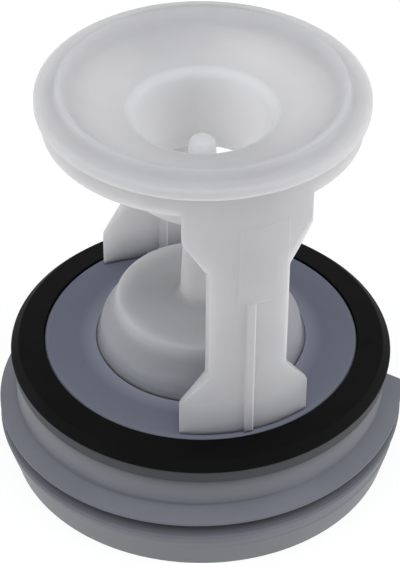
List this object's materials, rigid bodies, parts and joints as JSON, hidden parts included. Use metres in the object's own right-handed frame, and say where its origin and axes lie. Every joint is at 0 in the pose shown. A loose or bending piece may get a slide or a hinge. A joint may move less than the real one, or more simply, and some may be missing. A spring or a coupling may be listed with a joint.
{
  "type": "washer pump filter",
  "caption": "Washing machine drain pump filter: threaded grey screw cap with a black rubber seal and a white funnel insert on legs over a domed base with a spike.",
  "frame": {"origin": "middle of the lower rim of the cap's skirt, on the axis of the thread and the funnel", "axes": "+Z along the axis from the cap up to the funnel's rim; the insert's two legs stand on the -Y and +Y sides and the grip bar under the cap runs along X"},
  "size_m": [0.0678, 0.0678, 0.0718],
  "materials": {
    "grey_plastic": "fine moulded satin",
    "black_rubber": "smooth matt",
    "white_plastic": "translucent natural satin"
  },
  "bodies": {
    "root": {"screw_cap": "grey_plastic", "seal_ring": "black_rubber", "filter_insert": "white_plastic"}
  },
  "joints": []
}
